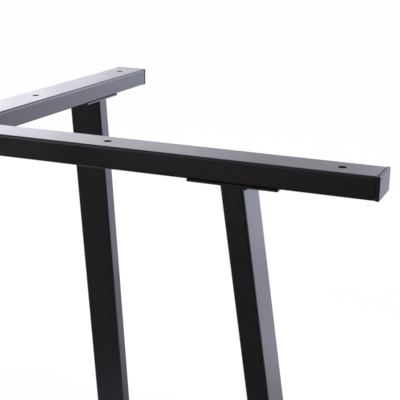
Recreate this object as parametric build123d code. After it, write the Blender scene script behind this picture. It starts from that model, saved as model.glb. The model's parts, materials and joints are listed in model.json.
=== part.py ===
from build123d import *

import os
from math import cos, radians, sin, tan

# Cross-shaped steel table base: two flat rectangular tubes lapped at right angles,
# with a splayed leg screwed under each of the four arms.
# Frame: origin on the floor under the crossing, +Z up, arms along the diagonals of X and Y.
# Every arm piece is drawn along +X and then turned to its own corner.

# Overall sizes, in millimetres and degrees
HEIGHT = 720.0  # floor to the top faces of the beams
BEAM_LENGTH = 1240.0  # tube length, without the end caps
LEG_REACH = 443.0  # centre of the base to the leg's axis at its plate
LEG_TILT = 9.3  # outward lean from the vertical, in the plane of the arm

# Rectangular tube that the beams and the legs are cut from
TUBE_WIDTH = 60.0
TUBE_DEPTH = 30.0
TUBE_WALL = 2.0
TUBE_INSIDE_CORNER = 2.0

# Holes through each arm for the table top's screws
SCREW_HOLE_DIAMETER = 11.0
OUTER_HOLE_INSET = 47.0  # from the tube's end
INNER_HOLE_REACH = 260.0  # from the centre of the base

# Half lap at the crossing, and the screw that holds it shut
LAP_CLEARANCE = 0.4
BOSS_DIAMETER = 16.0
BOSS_LENGTH = 15.0
CENTRE_SCREW_END_GAP = 3.0  # screw tip to the underside of the upper beam's top wall

# Plate welded on each leg, and its screws
PLATE_LENGTH = 120.0
PLATE_THICKNESS = 3.0
PLATE_CORNER = 3.0
PLATE_EDGE = 0.5
PLATE_SCREW_SPACING = 74.0
PLATE_SCREW_LENGTH = 16.0
WELD_LEG = 5.0
WELD_CROWN = 0.5
WELD_END_INSET = 0.5  # bead end to where the leg's outer face starts to round

# Button-head socket screws
SCREW_DIAMETER = 8.0
SCREW_HOLE_CLEARANCE = 0.5  # on the radius, in plates and walls that a screw passes through
SCREW_TIP_CHAMFER = 1.0
HEAD_DIAMETER = 14.0
HEAD_HEIGHT = 4.4
HEAD_RIM = 0.9
HEAD_FLAT_DIAMETER = 8.0
SOCKET_WIDTH = 5.0  # across flats
SOCKET_DEPTH = 2.6

# Countersunk rivet nuts in the beams' lower walls
RIVET_BODY_DIAMETER = 11.0
RIVET_FLANGE_DIAMETER = 12.4
RIVET_FLANGE_DEPTH = 0.7
RIVET_BULGE_DIAMETER = 14.0
RIVET_BULGE_HEIGHT = 3.5
RIVET_LENGTH = 16.0
RIVET_CLEARANCE = 0.05  # on the radius, in its hole

# Moulded plastic caps: a flange on the tube's end and a ribbed plug inside it
CAP_FLANGE = 6.0
CAP_EDGE = 1.5
CAP_SEAM_EDGE = 1.0  # rounding against the tube, which leaves a groove at the seam
FOOT_FLANGE = 5.0
FOOT_EDGE = 1.0
PLUG_DEPTH = 18.0
PLUG_WALL = 1.8
PLUG_SLACK = 1.2  # plug wall to tube wall, bridged by the ribs
RIB_CLEARANCE = 0.1  # rib to tube wall
RIB_COUNT = 3
RIB_THICKNESS = 1.2

# Arms by the corner they point to, counter-clockwise, a quarter turn apart
ARM_CORNERS = ("back_right", "back_left", "front_left", "front_right")
ARM_ANGLE_STEP = 90.0
UPPER_BEAM_ANGLE = ARM_ANGLE_STEP / 2
LOWER_BEAM_ANGLE = UPPER_BEAM_ANGLE + ARM_ANGLE_STEP

# Sizes that follow from those above
TUBE_CORNER = TUBE_INSIDE_CORNER + TUBE_WALL
BORE_WIDTH = TUBE_WIDTH - 2 * TUBE_WALL
BORE_DEPTH = TUBE_DEPTH - 2 * TUBE_WALL
BEAM_BOTTOM = HEIGHT - TUBE_DEPTH
BEAM_MIDDLE = HEIGHT - TUBE_DEPTH / 2
PLATE_BOTTOM = BEAM_BOTTOM - PLATE_THICKNESS
SCREW_CLEAR_RADIUS = SCREW_DIAMETER / 2 + SCREW_HOLE_CLEARANCE
CENTRE_SCREW_LENGTH = TUBE_DEPTH - TUBE_WALL - CENTRE_SCREW_END_GAP
LEG_HALF_CUT = TUBE_DEPTH / 2 / cos(radians(LEG_TILT))  # half of the leg's depth along a level cut
OUTER_HOLE_REACH = BEAM_LENGTH / 2 - OUTER_HOLE_INSET
PLATE_SCREW_REACHES = (LEG_REACH - PLATE_SCREW_SPACING / 2, LEG_REACH + PLATE_SCREW_SPACING / 2)


def upright(width, depth, corner, length):
    """A rounded bar standing on the XY plane, with its wide faces towards X."""
    return extrude(RectangleRounded(depth, width, corner), amount=length)


def bar(width, depth, corner, length):
    """A rounded bar along +X from the YZ plane, with its wide faces up and down."""
    return extrude(Plane.YZ * RectangleRounded(width, depth, corner), amount=length)


def turned(*profile):
    """A solid of revolution about Z, from the edges of half its section in the XZ plane."""
    return revolve(make_face(Plane.XZ * Curve(profile)), axis=Axis.Z)


def arm_angles():
    """The angle of every arm from +X, by the corner it points to."""
    return {corner: UPPER_BEAM_ANGLE + number * ARM_ANGLE_STEP for number, corner in enumerate(ARM_CORNERS)}


def drill(radius, reach, bottom, top):
    """A vertical round cutter at a distance along the arm."""
    return Pos(reach, 0, (bottom + top) / 2) * Cylinder(radius, top - bottom)


def rivet_cutter(reach):
    """The countersunk hole that a rivet nut sits in, through the beam's lower wall."""
    hole_radius = RIVET_BODY_DIAMETER / 2 + RIVET_CLEARANCE
    hole = drill(hole_radius, reach, BEAM_BOTTOM, BEAM_BOTTOM + TUBE_WALL + TUBE_INSIDE_CORNER)
    seat = Cone(
        RIVET_FLANGE_DIAMETER / 2 + RIVET_CLEARANCE,
        hole_radius,
        RIVET_FLANGE_DEPTH,
        align=(Align.CENTER, Align.CENTER, Align.MIN),
    )
    return hole + Pos(reach, 0, BEAM_BOTTOM) * seat


def drilled_beam():
    """A full-length tube along X with its screw holes and rivet-nut holes, before the lap is cut."""
    outside = bar(TUBE_WIDTH, TUBE_DEPTH, TUBE_CORNER, BEAM_LENGTH)
    inside = bar(BORE_WIDTH, BORE_DEPTH, TUBE_INSIDE_CORNER, BEAM_LENGTH)
    beam = Pos(-BEAM_LENGTH / 2, 0, BEAM_MIDDLE) * (outside - inside)
    for end in (1, -1):
        for reach in (INNER_HOLE_REACH, OUTER_HOLE_REACH):
            beam -= drill(SCREW_HOLE_DIAMETER / 2, end * reach, BEAM_BOTTOM, HEIGHT)
        for reach in PLATE_SCREW_REACHES:
            beam -= rivet_cutter(end * reach)
    return beam


def lap_cutter(bottom):
    """The half-depth notch that lets the other beam in, upwards from the given level."""
    notch = Box(
        TUBE_WIDTH + 2 * LAP_CLEARANCE,
        TUBE_WIDTH,
        TUBE_DEPTH / 2,
        align=(Align.CENTER, Align.CENTER, Align.MIN),
    )
    return Pos(0, 0, bottom) * notch


def upper_beam():
    """The beam that is notched from below, so its top wall runs unbroken over the crossing."""
    return Rot(Z=UPPER_BEAM_ANGLE) * (drilled_beam() - lap_cutter(BEAM_BOTTOM))


def lower_beam():
    """The beam that is notched from above, with the centre screw's hole in its bottom wall."""
    screw_hole = drill(SCREW_CLEAR_RADIUS, 0, BEAM_BOTTOM, BEAM_MIDDLE)
    return Rot(Z=LOWER_BEAM_ANGLE) * (drilled_beam() - lap_cutter(BEAM_MIDDLE) - screw_hole)


def centre_boss():
    """The threaded boss welded under the upper beam's top wall, over the crossing."""
    bottom = HEIGHT - TUBE_WALL - BOSS_LENGTH
    boss = Cylinder(BOSS_DIAMETER / 2, BOSS_LENGTH) - Cylinder(SCREW_DIAMETER / 2, BOSS_LENGTH)
    return Pos(0, 0, bottom + BOSS_LENGTH / 2) * boss


def socket_screw(length):
    """A button-head socket screw pointing up, with the face under its head on the XY plane."""
    shank = SCREW_DIAMETER / 2
    rim = HEAD_DIAMETER / 2
    flat = HEAD_FLAT_DIAMETER / 2
    tip = shank - SCREW_TIP_CHAMFER
    screw = turned(
        Polyline((0, -HEAD_HEIGHT), (0, length), (tip, length), (shank, length - SCREW_TIP_CHAMFER)),
        Polyline((shank, length - SCREW_TIP_CHAMFER), (shank, 0), (rim, 0), (rim, -HEAD_RIM)),
        TangentArc((rim, -HEAD_RIM), (flat, -HEAD_HEIGHT), tangent=(0, -1)),
        Line((flat, -HEAD_HEIGHT), (0, -HEAD_HEIGHT)),
    )
    hexagon = RegularPolygon(SOCKET_WIDTH / 2, 6, major_radius=False)
    return screw - Pos(0, 0, -HEAD_HEIGHT) * extrude(hexagon, amount=SOCKET_DEPTH)


def centre_screw():
    """The screw that draws the two halves of the lap together, from below."""
    return Pos(0, 0, BEAM_BOTTOM) * socket_screw(CENTRE_SCREW_LENGTH)


def rivet_nut():
    """A set rivet nut with its flange on the XY plane, and its bulge drawn up against the wall."""
    bore = SCREW_DIAMETER / 2
    flange = RIVET_FLANGE_DIAMETER / 2
    body = RIVET_BODY_DIAMETER / 2
    bulge = RIVET_BULGE_DIAMETER / 2
    bulge_top = TUBE_WALL + RIVET_BULGE_HEIGHT
    return turned(
        Polyline((bore, RIVET_LENGTH), (bore, 0), (flange, 0), (body, RIVET_FLANGE_DEPTH)),
        Polyline((body, RIVET_FLANGE_DEPTH), (body, TUBE_WALL), (bulge, TUBE_WALL)),
        TangentArc((bulge, TUBE_WALL), (body, bulge_top), tangent=(0, 1)),
        Polyline((body, bulge_top), (body, RIVET_LENGTH), (bore, RIVET_LENGTH)),
    )


def at_plate_screws(piece, level):
    """Copies of a fastener at both screws of every arm, as one group of separate solids."""
    return Compound(
        [
            Rot(Z=angle) * Pos(reach, 0, level) * piece
            for angle in arm_angles().values()
            for reach in PLATE_SCREW_REACHES
        ]
    )


def leg_plate():
    """The flat plate on the leg's top, with softened edges and a screw hole at each end."""
    sheet = extrude(RectangleRounded(PLATE_LENGTH, TUBE_WIDTH, PLATE_CORNER), amount=PLATE_THICKNESS)
    sheet = fillet(sheet.faces().sort_by(Axis.Z)[0].outer_wire().edges(), PLATE_EDGE)
    plate = Pos(LEG_REACH, 0, PLATE_BOTTOM) * sheet
    for reach in PLATE_SCREW_REACHES:
        plate -= drill(SCREW_CLEAR_RADIUS, reach, PLATE_BOTTOM, BEAM_BOTTOM)
    return plate


def level_slice(shape, bottom, top):
    """The part of an arm piece between two levels."""
    slab = Box(BEAM_LENGTH, 2 * TUBE_WIDTH, top - bottom)
    return shape & Pos(LEG_REACH, 0, (bottom + top) / 2) * slab


def along_leg(shape):
    """Carries a shape that stands on the origin to the leg's foot, leaning with the leg."""
    foot_reach = LEG_REACH + PLATE_BOTTOM * tan(radians(LEG_TILT))
    return Pos(foot_reach, 0, 0) * Rot(Y=-LEG_TILT) * shape


def leg_bar(width, depth, corner):
    """A bar on the leg's axis, running past both of its ends."""
    overrun = TUBE_DEPTH
    length = HEIGHT / cos(radians(LEG_TILT)) + 2 * overrun
    return along_leg(Pos(0, 0, -overrun) * upright(width, depth, corner, length))


def leg_tube():
    """The splayed leg, cut level at the plate and at the foot."""
    outside = leg_bar(TUBE_WIDTH, TUBE_DEPTH, TUBE_CORNER)
    inside = leg_bar(BORE_WIDTH, BORE_DEPTH, TUBE_INSIDE_CORNER)
    return level_slice(outside - inside, FOOT_FLANGE, PLATE_BOTTOM)


def leg_weld():
    """The fillet weld between the plate and the leg's outer face, slightly crowned."""
    lean = Vector(sin(radians(LEG_TILT)), 0, -cos(radians(LEG_TILT)))
    root = Vector(LEG_REACH + LEG_HALF_CUT, 0, PLATE_BOTTOM)
    on_plate = root + Vector(WELD_LEG, 0, 0)
    on_leg = root + lean * WELD_LEG
    middle = (on_plate + on_leg) * 0.5
    crown = middle + (middle - root).normalized() * WELD_CROWN
    section = make_face([Line(root, on_plate), ThreePointArc(on_plate, crown, on_leg), Line(on_leg, root)])
    half_length = TUBE_WIDTH / 2 - TUBE_CORNER - WELD_END_INSET
    return extrude(section, amount=half_length, dir=(0, 1, 0), both=True)


def ribbed_plug(length):
    """A hollow plug standing on the XY plane, with thin ribs that grip the tube's bore."""
    core_width = BORE_WIDTH - 2 * PLUG_SLACK
    core_depth = BORE_DEPTH - 2 * PLUG_SLACK
    hollow_width = core_width - 2 * PLUG_WALL
    hollow_depth = core_depth - 2 * PLUG_WALL
    plug = upright(core_width, core_depth, TUBE_INSIDE_CORNER, length)
    rib = upright(
        BORE_WIDTH - 2 * RIB_CLEARANCE, BORE_DEPTH - 2 * RIB_CLEARANCE, TUBE_INSIDE_CORNER, RIB_THICKNESS
    )
    spacing = PLUG_DEPTH / (RIB_COUNT + 1)
    for number in range(RIB_COUNT):
        plug += Pos(0, 0, length - (number + 0.5) * spacing) * rib
    return plug - upright(hollow_width, hollow_depth, TUBE_INSIDE_CORNER, length)


def beam_end_cap():
    """The cap on a beam's end: a soft-edged flange as large as the tube, and its plug."""
    flange = bar(TUBE_WIDTH, TUBE_DEPTH, TUBE_CORNER, CAP_FLANGE)
    flange = fillet(flange.faces().sort_by(Axis.X)[-1].edges(), CAP_EDGE)
    flange = fillet(flange.faces().sort_by(Axis.X)[0].edges(), CAP_SEAM_EDGE)
    plug = Rot(Y=-90) * ribbed_plug(PLUG_DEPTH)
    return Pos(BEAM_LENGTH / 2, 0, BEAM_MIDDLE) * (flange + plug)


def foot_cap():
    """The cap under a leg: a flange cut level for the floor, and a plug that leans with the leg."""
    flange = level_slice(leg_bar(TUBE_WIDTH, TUBE_DEPTH, TUBE_CORNER), 0, FOOT_FLANGE)
    flange = fillet(flange.faces().sort_by(Axis.Z)[0].edges(), FOOT_EDGE)
    plug_top = FOOT_FLANGE + TUBE_DEPTH + PLUG_DEPTH
    plug = level_slice(along_leg(ribbed_plug(FOOT_FLANGE + PLUG_DEPTH)), FOOT_FLANGE, plug_top)
    return flange + plug


def arm_pieces():
    """The pieces that every arm has, drawn along +X, by name."""
    return {
        "end_cap": beam_end_cap(),
        "leg_plate": leg_plate(),
        "leg_tube": leg_tube(),
        "leg_weld": leg_weld(),
        "foot_cap": foot_cap(),
    }


def table_base():
    """Every node of the base, by name."""
    nodes = {
        "upper_beam": upper_beam(),
        "lower_beam": lower_beam(),
        "centre_boss": centre_boss(),
        "centre_screw": centre_screw(),
        "rivet_nuts": at_plate_screws(rivet_nut(), BEAM_BOTTOM),
        "plate_screws": at_plate_screws(socket_screw(PLATE_SCREW_LENGTH), PLATE_BOTTOM),
    }
    for name, piece in arm_pieces().items():
        for corner, angle in arm_angles().items():
            nodes[f"{name}_{corner}"] = Rot(Z=angle) * piece
    return nodes


os.makedirs("parts", exist_ok=True)
for node, shape in table_base().items():
    export_step(shape, f"parts/{node}.step")
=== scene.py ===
# %% [markdown]
# # A cross-shaped table base in black powder coat
#
# The base is two flat steel tubes that cross under the table top, with a splayed leg under each arm.
# The shapes are already settled by the engineering model, so this lesson is about finish: soft edges that
# catch light, welds that look laid down by hand, and coatings that are never one flat colour.
#
# The first step loads that model as a fixed frame. Nothing in it is moved or reshaped here: a piece either
# keeps its mesh and gets a finish, or a better mesh is laid over it and takes its place.

import json
from math import cos, pi, radians, sin

import bmesh
import bpy
from mathutils import Matrix, Vector


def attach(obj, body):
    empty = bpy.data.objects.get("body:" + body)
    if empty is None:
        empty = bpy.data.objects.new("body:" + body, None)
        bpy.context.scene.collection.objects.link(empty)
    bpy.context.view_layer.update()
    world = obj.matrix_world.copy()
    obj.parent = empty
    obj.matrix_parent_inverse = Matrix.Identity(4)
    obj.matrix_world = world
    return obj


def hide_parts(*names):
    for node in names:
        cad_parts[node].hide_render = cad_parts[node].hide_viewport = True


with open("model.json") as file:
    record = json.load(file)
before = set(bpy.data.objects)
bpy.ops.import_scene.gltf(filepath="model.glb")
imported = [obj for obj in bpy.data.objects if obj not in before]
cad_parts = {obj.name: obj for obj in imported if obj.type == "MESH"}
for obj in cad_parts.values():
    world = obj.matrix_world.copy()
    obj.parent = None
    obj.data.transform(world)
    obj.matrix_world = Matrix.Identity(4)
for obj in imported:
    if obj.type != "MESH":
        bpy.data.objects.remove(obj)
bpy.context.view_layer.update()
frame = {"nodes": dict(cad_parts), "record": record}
MM = 0.001
print("pieces in the frame:", len(frame["nodes"]))

# %% [markdown]
# ## The camera
#
# The camera stands at waist height, a step and a half away, with a short telephoto lens, so parallel edges
# run together only slowly. Its place was found by matching the edges of the tubes, so it is given as a place,
# a heading, a downward pitch and a slight roll, the way a photographer would read them off a tripod.

# %% Set up the camera
CAMERA_PLACE = Vector((-0.226, -1.409, 1.0))
CAMERA_HEADING = radians(23.94)  # clockwise from +Y, seen from above
CAMERA_PITCH = radians(15.5)
CAMERA_ROLL = radians(1.45)
FOCAL_LENGTH = 90.5  # in millimetres, as is the width of the sensor
SENSOR_WIDTH = 36.0

lens = bpy.data.cameras.new("camera")
lens.sensor_width = SENSOR_WIDTH
lens.lens = FOCAL_LENGTH
camera = bpy.data.objects.new("camera", lens)
camera.matrix_world = (
    Matrix.Translation(CAMERA_PLACE)
    @ Matrix.Rotation(-CAMERA_HEADING, 4, "Z")
    @ Matrix.Rotation(pi / 2 - CAMERA_PITCH, 4, "X")
    @ Matrix.Rotation(CAMERA_ROLL, 4, "Z")
)
bpy.context.scene.collection.objects.link(camera)
bpy.context.scene.camera = camera
print("camera looks along", [round(v, 3) for v in camera.matrix_world.col[2].xyz * -1])

# %% [markdown]
# ## The studio
#
# Black paint has almost no colour of its own: what we see in it is the room. So the room comes before the
# paint. A round white sweep, floor and wall in one, stands for the photographer's paper. A bent plane would
# do for one view. A profile spun round the base has no corner, whichever way a reflection looks.

# %% White sweep
SWEEP_RADIUS = 8.0
SWEEP_HEIGHT = 5.2
SWEEP_BEND = 1.2
SWEEP_STEPS = 96
BEND_STEPS = 10
SWEEP_JOIN = 0.1 * MM


def new_object(name, mesh):
    """Links a mesh into the scene under its own name."""
    thing = bpy.data.objects.new(name, mesh)
    bpy.context.scene.collection.objects.link(thing)
    return thing


def sweep_profile():
    """Floor, bend and wall as points in the XZ plane."""
    yield Vector((0, 0, 0))
    for step in range(BEND_STEPS + 1):
        angle = pi / 2 * step / BEND_STEPS
        yield Vector((SWEEP_RADIUS - SWEEP_BEND + SWEEP_BEND * sin(angle), 0, SWEEP_BEND * (1 - cos(angle))))
    yield Vector((SWEEP_RADIUS, 0, SWEEP_HEIGHT))


def make_sweep():
    """Spins the profile into a shallow dish around the base."""
    shell = bmesh.new()
    line = [shell.verts.new(point) for point in sweep_profile()]
    edges = [shell.edges.new(pair) for pair in zip(line, line[1:])]
    bmesh.ops.spin(shell, geom=line + edges, axis=(0, 0, 1), angle=2 * pi, steps=SWEEP_STEPS, use_merge=True)
    bmesh.ops.remove_doubles(shell, verts=shell.verts, dist=SWEEP_JOIN)
    bmesh.ops.recalc_face_normals(shell, faces=shell.faces)
    bmesh.ops.reverse_faces(shell, faces=shell.faces)
    mesh = bpy.data.meshes.new("sweep")
    shell.to_mesh(mesh)
    shell.free()
    mesh.shade_smooth()
    return new_object("sweep", mesh)


sweep = make_sweep()
print("sweep faces:", len(sweep.data.polygons))

# %% [markdown]
# The paper is a diffuse sheet with a plain glow mixed over it. The camera sees it white all round, while
# near the base the sheet's own shading, and with it the shadow of the base, still shows through. Reflections
# see painted light instead: a glow painted bright behind the base that fades into a dim room in front, as a
# studio would light it. That painted fade is what lets faces turned to the camera go dark while their
# tops shine.

# %% Paper
SHEET = (0.95, 0.95, 0.95, 1)
PLAIN_GLOW = (1, 1, 1, 1)  # what the camera sees
# The painted glow that reflections see is cooler than the white the camera sees.
COOL_GLOW = (0.885, 0.88, 1.0, 1)  # what reflections see
# Share of the glow over the sheet, in reflections
MIRRORED_SHARE = 0.92
# The same for the camera: from and to which distance from the middle it rises, from and to what
SEEN_SHARE = (0.8, 2.4, 0.6, 0.95)
# Painted light: how the glow brightens in reflections along two bearings,
# from and to which distance, from and to what
BACK_BEARING = 30
BACK_FADE = (0.1, 1.15, 0.0, 1.0)
LEFT_BEARING = -65
LEFT_FADE = (-0.9, 1.9, 0.0, 0.31)


def studio_point(bearing, distance, height):
    """A point at a bearing clockwise from the camera's heading, measured from the middle of the base."""
    turn = CAMERA_HEADING + radians(bearing)
    return Vector((sin(turn) * distance, cos(turn) * distance, height))


def paper_material():
    """White paper: a plain glow over a diffuse sheet, and a painted glow in reflections that fades to the
    front.
    """
    material = bpy.data.materials.new("paper")
    material.use_nodes = True
    nodes = material.node_tree.nodes
    link = material.node_tree.links.new
    nodes.clear()

    def maths(operation, first, second):
        """The product of two values, or the larger of them."""
        node = nodes.new("ShaderNodeMath")
        node.operation = operation
        link(first, node.inputs[0])
        link(second, node.inputs[1])
        return node.outputs[0]

    def scaled(value, most):
        """Stretches a value between 0 and 1 to end at another value than 1."""
        node = nodes.new("ShaderNodeMapRange")
        node.inputs["To Max"].default_value = most
        link(value, node.inputs["Value"])
        return node.outputs["Result"]

    def measured(operation, direction=(0, 0, 0)):
        """Distance from the middle of the base, in all or along one direction."""
        node = nodes.new("ShaderNodeVectorMath")
        node.operation = operation
        node.inputs[1].default_value = direction
        link(place.outputs["Object"], node.inputs[0])
        return node.outputs["Value"]

    def fade(distance, start, end, least, most):
        """Rises smoothly from one value to another between two distances."""
        node = nodes.new("ShaderNodeMapRange")
        node.interpolation_type = "SMOOTHSTEP"
        node.inputs["From Min"].default_value = start
        node.inputs["From Max"].default_value = end
        node.inputs["To Min"].default_value = least
        node.inputs["To Max"].default_value = most
        link(distance, node.inputs["Value"])
        return node.outputs["Result"]

    place = nodes.new("ShaderNodeTexCoord")
    rays = nodes.new("ShaderNodeLightPath")
    mirrored = maths("MAXIMUM", rays.outputs["Is Glossy Ray"], rays.outputs["Is Transmission Ray"])
    seen = maths("MULTIPLY", rays.outputs["Is Camera Ray"], fade(measured("LENGTH"), *SEEN_SHARE))
    share = maths("MAXIMUM", seen, scaled(mirrored, MIRRORED_SHARE))
    sheet = nodes.new("ShaderNodeBsdfDiffuse")
    sheet.inputs["Color"].default_value = SHEET
    tint = nodes.new("ShaderNodeMix")
    tint.data_type = "RGBA"
    tint.inputs["A"].default_value = PLAIN_GLOW
    tint.inputs["B"].default_value = COOL_GLOW
    link(mirrored, tint.inputs["Factor"])
    glow = nodes.new("ShaderNodeEmission")
    link(tint.outputs["Result"], glow.inputs["Color"])
    # Painted light: the glow that reflections see is painted brighter behind the base and to the left, dimmer
    # in front.
    behind = fade(measured("DOT_PRODUCT", studio_point(BACK_BEARING, 1, 0)), *BACK_FADE)
    beside = fade(measured("DOT_PRODUCT", studio_point(LEFT_BEARING, 1, 0)), *LEFT_FADE)
    lit = maths("MAXIMUM", behind, beside)
    link(maths("MAXIMUM", rays.outputs["Is Camera Ray"], lit), glow.inputs["Strength"])
    mix = nodes.new("ShaderNodeMixShader")
    link(share, mix.inputs["Fac"])
    link(sheet.outputs[0], mix.inputs[1])
    link(glow.outputs[0], mix.inputs[2])
    output = nodes.new("ShaderNodeOutputMaterial")
    link(mix.outputs[0], output.inputs["Surface"])
    return material


paper = paper_material()
sweep.data.materials.append(paper)
print("paper nodes:", len(paper.node_tree.nodes))

# %% [markdown]
# Soft boxes draw the reflections. Six strips behind the base fall in brightness from left to right, so the
# top faces shade the same way. Three boxes on the right, one above the other, and a larger one further back
# light the faces turned that way, and a tall one on the front left draws the pale line along the rounded
# edges. Each is described by how bright its cloth looks, where 1 is paper white, and its power follows from
# that and its area. The light on the right is bluer than the strips behind, as daylight is, and the paint
# shows it.

# %% Soft boxes
COOL = (0.92, 0.915, 1.0)
DAYLIGHT = (0.75, 0.765, 1.0)
SKYLIGHT = (0.725, 0.765, 1.0)
STRIP_DISTANCE = 3.4
STRIP_HEIGHT = 1.2
STRIP_SIZE = (0.237, 2.2)
BACK_STRIPS = ((-12, 2.0), (-8, 1.6), (-4, 1.12), (0, 0.66), (4, 0.54), (8, 0.2))  # bearing, brightness
SIDE_BOXES = (
    # name, bearing, distance, height, width, tall, brightness, colour
    ("right_low", 46, 1.4, 0.185, 1.3, 0.33, 0.55, DAYLIGHT),
    ("right_high", 46, 1.4, 0.6, 1.3, 0.5, 1.09, SKYLIGHT),
    ("right_top", 47.5, 1.4, 0.96, 0.4, 0.68, 2.8, DAYLIGHT),
    ("right_back", 36, 3.0, 1.7, 1.3, 1.6, 1.7, DAYLIGHT),
    ("front_left_tall", -124, 2.2, 1.8, 1.0, 2.75, 1.1, COOL),
)


def soft_box(name, place, width, tall, brightness, colour):
    """An upright rectangular lamp turned to the middle of the base, hidden from the camera."""
    light = bpy.data.lights.new(name, "AREA")
    light.shape = "RECTANGLE"
    light.size = width
    light.size_y = tall
    light.energy = brightness * pi * width * tall
    light.color = colour
    lamp = bpy.data.objects.new(name, light)
    lamp.location = place
    lamp.rotation_euler = Vector((-place.x, -place.y, 0)).to_track_quat("-Z", "Y").to_euler()
    lamp.visible_camera = False
    bpy.context.scene.collection.objects.link(lamp)
    return lamp


for number, (bearing, brightness) in enumerate(BACK_STRIPS, 1):
    place = studio_point(bearing, STRIP_DISTANCE, STRIP_HEIGHT)
    soft_box(f"back_strip_{number}", place, *STRIP_SIZE, brightness, COOL)
for name, bearing, distance, height, width, tall, brightness, colour in SIDE_BOXES:
    soft_box(name, studio_point(bearing, distance, height), width, tall, brightness, colour)

# %% [markdown]
# Above the sweep the room itself shows. For reflections it is a dim ceiling, the dark line beside every
# bright one. For everything else it is an even, slightly cool white, so colours look about as they are
# written.

# %% Room
ROOM_LIGHT = (0.95, 0.95, 1.0, 1)
CEILING = (0.32, 0.32, 0.36, 1)


def room_world():
    """Even light from all round, dim where a reflection looks up into it."""
    world = bpy.data.worlds.new("room")
    world.use_nodes = True
    nodes = world.node_tree.nodes
    rays = nodes.new("ShaderNodeLightPath")
    tone = nodes.new("ShaderNodeMix")
    tone.data_type = "RGBA"
    tone.inputs["A"].default_value = ROOM_LIGHT
    tone.inputs["B"].default_value = CEILING
    world.node_tree.links.new(rays.outputs["Is Glossy Ray"], tone.inputs["Factor"])
    world.node_tree.links.new(tone.outputs["Result"], nodes["Background"].inputs["Color"])
    return world


bpy.context.scene.world = room_world()
bpy.context.scene.view_settings.view_transform = "Standard"
print("world:", bpy.context.scene.world.name)

# %% [markdown]
# ## Powder coat
#
# Powder coat is a melted plastic film on steel. Close up it has a faint orange-peel swell a millimetre or two
# wide and a much finer grain that blurs reflections, and from place to place its tone and gloss drift a
# little. Other surfaces need the same effects with other numbers, so each is a node group: one gives the
# height of swell and grain together, the other the drift of tone and roughness.

# %% Shared node groups
GRAIN_INPUTS = {"Swell Scale": 700.0, "Grain Scale": 3000.0, "Grain Share": 0.35}
DRIFT_INPUTS = {"Scale": 12.0, "Smooth": 0.3, "Rough": 0.4}
DRIFT_TONES = {"Dark": (0.01, 0.01, 0.01, 1), "Light": (0.02, 0.02, 0.02, 1)}
SWELL_DETAIL = 1.0
GRAIN_DETAIL = 2.0
DRIFT_DETAIL = 4.0


def new_group(name, values, colours):
    """A node group with a named input for each value and colour, and what its nodes are built with."""
    group = bpy.data.node_groups.new(name, "ShaderNodeTree")
    for kind, inputs in (("NodeSocketColor", colours), ("NodeSocketFloat", values)):
        for label, default in inputs.items():
            socket = group.interface.new_socket(name=label, in_out="INPUT", socket_type=kind)
            socket.default_value = default
    given = group.nodes.new("NodeGroupInput")
    place = group.nodes.new("ShaderNodeTexCoord")

    def noise(scale, detail):
        """Noise over the surface, with as many features per metre as the named input says."""
        node = group.nodes.new("ShaderNodeTexNoise")
        node.inputs["Detail"].default_value = detail
        group.links.new(place.outputs["Object"], node.inputs["Vector"])
        group.links.new(given.outputs[scale], node.inputs["Scale"])
        return node.outputs["Fac"]

    return group, given, noise


def put_out(group, **results):
    """Gives a node group its named outputs: a colour for Color, a value for any other name."""
    for label in results:
        kind = "NodeSocketColor" if label == "Color" else "NodeSocketFloat"
        group.interface.new_socket(name=label, in_out="OUTPUT", socket_type=kind)
    out = group.nodes.new("NodeGroupOutput")
    for label, result in results.items():
        group.links.new(result, out.inputs[label])


def grain_group():
    """Height of a surface with a broad swell and a fine grain."""
    group, given, noise = new_group("surface_grain", GRAIN_INPUTS, {})
    blend = group.nodes.new("ShaderNodeMix")
    group.links.new(given.outputs["Grain Share"], blend.inputs["Factor"])
    group.links.new(noise("Swell Scale", SWELL_DETAIL), blend.inputs["A"])
    group.links.new(noise("Grain Scale", GRAIN_DETAIL), blend.inputs["B"])
    put_out(group, Height=blend.outputs["Result"])
    return group


def drift_group():
    """A drift between two tones, and a roughness that drifts with it."""
    group, given, noise = new_group("tone_drift", DRIFT_INPUTS, DRIFT_TONES)
    link = group.links.new
    clouds = noise("Scale", DRIFT_DETAIL)
    tone = group.nodes.new("ShaderNodeMix")
    tone.data_type = "RGBA"
    link(clouds, tone.inputs["Factor"])
    link(given.outputs["Dark"], tone.inputs["A"])
    link(given.outputs["Light"], tone.inputs["B"])
    polish = group.nodes.new("ShaderNodeMapRange")
    link(clouds, polish.inputs["Value"])
    link(given.outputs["Smooth"], polish.inputs["To Min"])
    link(given.outputs["Rough"], polish.inputs["To Max"])
    put_out(group, Color=tone.outputs["Result"], Roughness=polish.outputs["Result"])
    return group


surface_grain = grain_group()
tone_drift = drift_group()
print("node groups:", [group.name for group in bpy.data.node_groups])

# %% [markdown]
# Four finishes dress the base: the coat on tubes, plates, welds and the hidden boss, moulded plastic on end
# caps and feet, blackened steel on the screws and zinc on the rivet nuts. Each is one Principled shader fed
# by the two groups, so a finish is only a short recipe: two tones, two ends for the gloss, and how deep and
# how wide the relief is. The tones of the coat lean a little to violet, which is how its dark sides look
# beside neutral paper.

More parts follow.
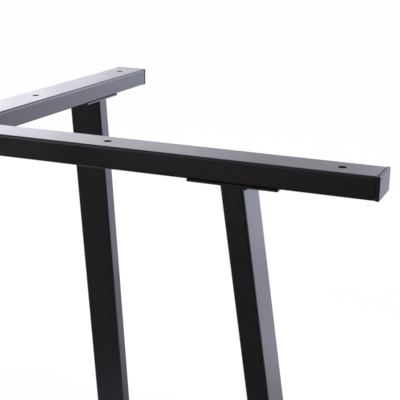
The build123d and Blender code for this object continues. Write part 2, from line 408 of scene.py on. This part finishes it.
# %% Finishes
RECIPES = {
    "powder_coat": dict(
        dark=(0.0073, 0.0058, 0.0071), light=(0.0093, 0.0074, 0.0091), smooth=0.20, rough=0.26,
        bump=0.006 * MM, swell=700, grain=3000, share=0.35, drift=12,
    ),
    "cap_plastic": dict(
        dark=(0.011, 0.011, 0.0115), light=(0.016, 0.016, 0.0165), smooth=0.2, rough=0.42,
        bump=0.05 * MM, swell=450, grain=4000, share=0.3, drift=350, specular=0.08,
    ),
    "black_screw": dict(
        dark=(0.03, 0.03, 0.032), light=(0.06, 0.058, 0.056), smooth=0.3, rough=0.45,
        bump=0.01 * MM, swell=1500, grain=6000, share=0.5, drift=300, metallic=1.0,
    ),
    "zinc_nut": dict(
        dark=(0.55, 0.56, 0.56), light=(0.66, 0.66, 0.63), smooth=0.25, rough=0.4,
        bump=0.01 * MM, swell=1500, grain=6000, share=0.5, drift=300, metallic=1.0,
    ),
}


def place_group(material, group, **values):
    """Puts a node group into a material with its own values."""
    node = material.node_tree.nodes.new("ShaderNodeGroup")
    node.node_tree = group
    for label, value in values.items():
        node.inputs[label.replace("_", " ")].default_value = value
    return node.outputs


def finish_material(
    name, dark, light, smooth, rough, bump, swell, grain, share, drift, metallic=0.0, specular=0.5
):
    """A Principled material whose tone, roughness and relief come from the two groups."""
    material = bpy.data.materials.new(name)
    material.use_nodes = True
    nodes = material.node_tree.nodes
    link = material.node_tree.links.new
    shader = nodes["Principled BSDF"]
    shader.inputs["Metallic"].default_value = metallic
    shader.inputs["Specular IOR Level"].default_value = specular
    tones = place_group(
        material, tone_drift, Dark=(*dark, 1), Light=(*light, 1), Scale=drift, Smooth=smooth, Rough=rough
    )
    relief = place_group(material, surface_grain, Swell_Scale=swell, Grain_Scale=grain, Grain_Share=share)
    height = nodes.new("ShaderNodeBump")
    height.inputs["Strength"].default_value = 1.0
    height.inputs["Distance"].default_value = bump
    link(tones["Color"], shader.inputs["Base Color"])
    link(tones["Roughness"], shader.inputs["Roughness"])
    link(relief["Height"], height.inputs["Height"])
    link(height.outputs["Normal"], shader.inputs["Normal"])
    return material


finishes = {name: finish_material(name, **recipe) for name, recipe in RECIPES.items()}
slot_of = {part["node"]: part["material_slot"] for part in frame["record"]["subparts"]}
print("finishes:", sorted(finishes))

# %% [markdown]
# ## Soft edges
#
# The engineering model has true fillets where the tube is rolled, and sharp corners where it was sawn or
# drilled. Real paint never ends in a knife edge: it flows over a corner and leaves a radius of a few tenths
# of a millimetre. A bevel on a copy of the mesh gives that radius to every sharp corner at once. The copy is
# first joined into one skin and its flat faces are merged, so that the bevel finds clean edges to work on. A
# face with holes cannot be one polygon, so it is first cut along the middle of its arm: that cut leaves each
# hole at a right angle, where the bevel can widen the rim without running across it.

# %% Join and cut
JOIN_DISTANCE = 0.001 * MM  # points closer than this count as one
CUT_REACH = 0.02 * MM
FLAT_ANGLE = radians(0.3)
ARM_SIDES = (Vector((1, 1, 0)).normalized(), Vector((1, -1, 0)).normalized())  # square to the two tubes


def on_cut(edge):
    """Whether an edge lies in the middle plane of an arm."""
    return any(all(abs(v.co.dot(side)) < CUT_REACH for v in edge.verts) for side in ARM_SIDES)


def joined_skin(mesh):
    """Joins the split corners of a mesh, merges its flat halves and drops its stored normals."""
    if "custom_normal" in mesh.attributes:
        mesh.attributes.remove(mesh.attributes["custom_normal"])
    skin = bmesh.new()
    skin.from_mesh(mesh)
    bmesh.ops.remove_doubles(skin, verts=skin.verts, dist=JOIN_DISTANCE)
    for side in ARM_SIDES:
        whole = [*skin.verts, *skin.edges, *skin.faces]
        bmesh.ops.bisect_plane(skin, geom=whole, dist=CUT_REACH, plane_co=(0, 0, 0), plane_no=side)
    loose = [edge for edge in skin.edges if not on_cut(edge)]
    bmesh.ops.dissolve_limit(skin, angle_limit=FLAT_ANGLE, verts=skin.verts, edges=loose)
    skin.to_mesh(mesh)
    skin.free()


print("cut planes:", [[round(v, 3) for v in side] for side in ARM_SIDES])

# %% [markdown]
# Each softened copy takes the place of its node. Sawn tube and plate get the widest radius, moulded feet and
# turned screws a tighter one. Normals weighted by area keep the flats flat, so that the bevel alone bends the
# light.

# %% Softened copies
SHARP_ANGLE = radians(35)
BEVEL_STEPS = 2
NORMAL_WEIGHT = 60
CORNERS = ("back_right", "back_left", "front_left", "front_right")
# Edge radius of the pieces there are one of, and of those that every arm has
SINGLE_EDGES = {
    "upper_beam": 0.35 * MM, "lower_beam": 0.35 * MM, "centre_screw": 0.15 * MM, "plate_screws": 0.15 * MM
}
ARM_EDGES = {"leg_tube": 0.35 * MM, "leg_plate": 0.3 * MM, "foot_cap": 0.2 * MM}


def apply_modifiers(piece):
    """Replaces a piece's mesh by what its modifiers make of it."""
    evaluated = piece.evaluated_get(bpy.context.evaluated_depsgraph_get())
    finished = bpy.data.meshes.new_from_object(evaluated)
    piece.modifiers.clear()
    piece.data = finished


def dress(piece, name):
    """Gives a piece the finish of a node, and no other."""
    piece.data.materials.clear()
    piece.data.materials.append(finishes[slot_of[name]])


def take_place(piece, name):
    """Puts a new piece on the frame in a node's place, in that node's finish."""
    dress(piece, name)
    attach(piece, "root")
    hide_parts(name)


def softened(name, radius, reshape=None):
    """A copy of a node with a small radius on every sharp edge, reshaped a little first if asked."""
    source = frame["nodes"][name]
    mesh = source.data.copy()
    joined_skin(mesh)
    if reshape:
        reshape(mesh)
    mesh.shade_smooth()
    piece = new_object(f"{name}_soft", mesh)
    piece.matrix_world = source.matrix_world
    bevel = piece.modifiers.new("soft_edges", "BEVEL")
    bevel.limit_method = "ANGLE"
    bevel.angle_limit = SHARP_ANGLE
    bevel.width = radius
    bevel.segments = BEVEL_STEPS
    bevel.use_clamp_overlap = False
    normals = piece.modifiers.new("even_normals", "WEIGHTED_NORMAL")
    normals.weight = NORMAL_WEIGHT
    apply_modifiers(piece)
    take_place(piece, name)
    return piece


for name, radius in SINGLE_EDGES.items():
    piece = softened(name, radius)
    print(piece.name, "faces:", len(piece.data.polygons))
for kind, radius in ARM_EDGES.items():
    pieces = [softened(f"{kind}_{corner}", radius) for corner in CORNERS]
    print(kind, "faces:", [len(piece.data.polygons) for piece in pieces])

# %% [markdown]
# ## End caps
#
# A moulded cap is crisper than the tube it closes: its flange has almost square corners, where the tube's are
# rolled round, a tighter edge around its face, and it never sits quite flush, so a hairline of shadow runs
# round the seam. All three are done on the copy by moving points, which keeps the cap's own mesh. For each
# point of the flange we ask how deep it lies below the outline of the tube and which way is out, and set it
# down again at a new depth below a squarer outline. The plug inside the tube is left alone.

# %% Make the caps
# As the engineering model has it
TUBE_CORNER = 4.0 * MM
TUBE_WALL = 2.0 * MM
FLANGE = 6.0 * MM
FACE_ROUND = 1.5 * MM
SEAM_ROUND = 1.0 * MM
# As the moulded cap has it
CAP_CORNER = 1.6 * MM
CAP_EDGE = 0.2 * MM
FACE_CRISP = 0.65  # share of the rounding of the face that is kept
FACE_BACK = 0.31 * MM  # the face steps back by this, so that its crisper edge reaches no further than before
SEAM_GAP = 0.5 * MM


def outline_depth(place, half):
    """How deep a point lies below the tube's outline, which way is out, and whether it is in a corner."""
    corner = place - half + Vector((TUBE_CORNER, TUBE_CORNER))
    if min(corner) > -JOIN_DISTANCE:
        return TUBE_CORNER - corner.length, corner.normalized(), True
    if half.x - place.x < half.y - place.y:
        return half.x - place.x, Vector((1, 0)), False
    return half.y - place.y, Vector((0, 1)), False


def arm_turn(points):
    """The turn about the upright axis that carries +X onto the arm where these points lie."""
    middle = sum(points, Vector()) / len(points)
    return Matrix.Rotation(middle.to_2d().angle_signed(Vector((1, 0))), 3, "Z")


def crisp_flange(mesh):
    """Squares the flange of a cap, tightens the edge of its face and opens its seam."""
    turn = arm_turn([v.co for v in mesh.vertices])
    points = [turn.inverted() @ v.co for v in mesh.vertices]
    face = max(p.x for p in points)
    seam = face - FLANGE
    level = (max(p.z for p in points) + min(p.z for p in points)) / 2
    half = Vector((max(p.y for p in points), max(p.z for p in points) - level))
    for vertex, p in zip(mesh.vertices, points):
        place = Vector((abs(p.y), abs(p.z - level)))
        depth, out, in_corner = outline_depth(place, half)
        if p.x < seam - JOIN_DISTANCE or depth > TUBE_WALL - JOIN_DISTANCE:
            continue
        along = p.x
        new_depth = depth
        if p.x > face - FACE_ROUND - JOIN_DISTANCE:
            along = face - FACE_BACK - (face - p.x) * FACE_CRISP
            new_depth = depth * FACE_CRISP
        elif p.x < seam + SEAM_ROUND + JOIN_DISTANCE:
            along = p.x + SEAM_GAP
        if in_corner:
            place = half - Vector((CAP_CORNER, CAP_CORNER)) + out * (CAP_CORNER - new_depth)
        else:
            place += out * (depth - new_depth)
        side = Vector((1 if p.y > 0 else -1, 1 if p.z > level else -1))
        vertex.co = turn @ Vector((along, side.x * place.x, level + side.y * place.y))


pieces = [softened(f"end_cap_{corner}", CAP_EDGE, crisp_flange) for corner in CORNERS]
print("end_cap faces:", [len(piece.data.polygons) for piece in pieces])

# %% [markdown]
# ## Weld beads
#
# A weld is a row of small puddles that froze one over the other, so its face has crescent ripples and its
# edges wander a little. A bump map could draw the ripples, but the outline of the bead would stay straight.
# So the bead is swept along the joint, station by station: each station is an arc from the plate to the leg,
# pushed out by the ripple and drawn in at both ends. Where it starts, how far it reaches on plate and leg and
# how long it is are all read off the plain bead in the frame.

# %% Make the beads
STATIONS = 150
ARC_STEPS = 12
RIPPLE_PITCH = 2.3 * MM
RIPPLE_HEIGHT = 0.22 * MM
RIPPLE_BOW = 0.8  # how far the middle of a crescent runs ahead, in ripples
WANDER = 0.06  # share by which the toes wander, inward only
LONG_WANDER = 3.1 * MM
SHORT_WANDER = 1.7 * MM
END_TAPER = 3.0 * MM
LEAST_END = 0.05
BEAD_CROWN = 0.5 * MM
FIRST_SEED = 0.7
SEED_STEP = 1.3  # no two beads ripple and wander alike


def bead_frame(name):
    """The arm's turn and the root, plate toe, leg toe and half length of a plain bead, drawn along +X."""
    node = frame["nodes"][name]
    points = [node.matrix_world @ v.co for v in node.data.vertices]
    turn = arm_turn(points)
    points = [turn.inverted() @ p for p in points]
    top = max(p.z for p in points)
    on_top = [p.x for p in points if p.z > top - JOIN_DISTANCE]
    lowest = min(points, key=lambda p: p.z)
    root = Vector((min(on_top), 0, top))
    plate_toe = Vector((max(on_top), 0, top))
    leg_toe = Vector((lowest.x, 0, lowest.z))
    return turn, root, plate_toe, leg_toe, max(p.y for p in points)


def end_share(along, half):
    """How full the bead is at a station: 1 over most of its length, rounded off at both ends."""
    past = max(0.0, abs(along) - (half - END_TAPER)) / END_TAPER
    return max(LEAST_END, (1 - past * past)) ** 0.5


def bead_station(along, half, root, plate_toe, leg_toe, seed):
    """The ring of points of one station, from the root over the plate toe and the crown to the leg toe."""
    share = end_share(along, half)
    wander = 1 + WANDER * (sin(along / LONG_WANDER + seed) + sin(along / SHORT_WANDER + 2 * seed)) / 2
    outward = ((plate_toe + leg_toe) / 2 - root).normalized()
    yield root + Vector((0, along, 0))
    for step in range(ARC_STEPS + 1):
        across = step / ARC_STEPS
        bow = 4 * across * (1 - across)
        ripple = abs(sin(pi * (along / RIPPLE_PITCH + RIPPLE_BOW * bow + seed)))
        lift = bow * (BEAD_CROWN + RIPPLE_HEIGHT * (ripple - 1))
        point = plate_toe.lerp(leg_toe, across) + outward * lift
        yield root + (point - root) * share * min(wander, 1.0) + Vector((0, along, 0))


def weld_bead(name, seed):
    """A rippled bead in place of a plain one."""
    turn, root, plate_toe, leg_toe, half = bead_frame(name)
    bead = bmesh.new()
    rings = []
    for station in range(STATIONS + 1):
        along = half * (2 * station / STATIONS - 1)
        ring = bead_station(along, half, root, plate_toe, leg_toe, seed)
        rings.append([bead.verts.new(turn @ point) for point in ring])
    for ring, after in zip(rings, rings[1:]):
        for number in range(len(ring)):
            nearer = number - 1
            bead.faces.new((ring[nearer], ring[number], after[number], after[nearer]))
    bead.faces.new(rings[0])
    bead.faces.new(reversed(rings[-1]))
    bmesh.ops.recalc_face_normals(bead, faces=bead.faces)
    mesh = bpy.data.meshes.new(f"{name}_rippled")
    bead.to_mesh(mesh)
    bead.free()
    mesh.shade_smooth()
    piece = new_object(f"{name}_rippled", mesh)
    take_place(piece, name)
    return piece


pieces = [weld_bead(f"leg_weld_{corner}", FIRST_SEED + SEED_STEP * n) for n, corner in enumerate(CORNERS)]
print("leg_weld faces:", [len(piece.data.polygons) for piece in pieces])

# %% [markdown]
# ## Pieces that stay as they are
#
# The rivet nuts and the boss at the crossing are closed in by the tubes. Their shapes are right as they
# stand, so they keep their own meshes and only take a finish.

# %% Dress what is left
for name in ("rivet_nuts", "centre_boss"):
    dress(frame["nodes"][name], name)
print("kept from the frame:", sum(not node.hide_render for node in frame["nodes"].values()))
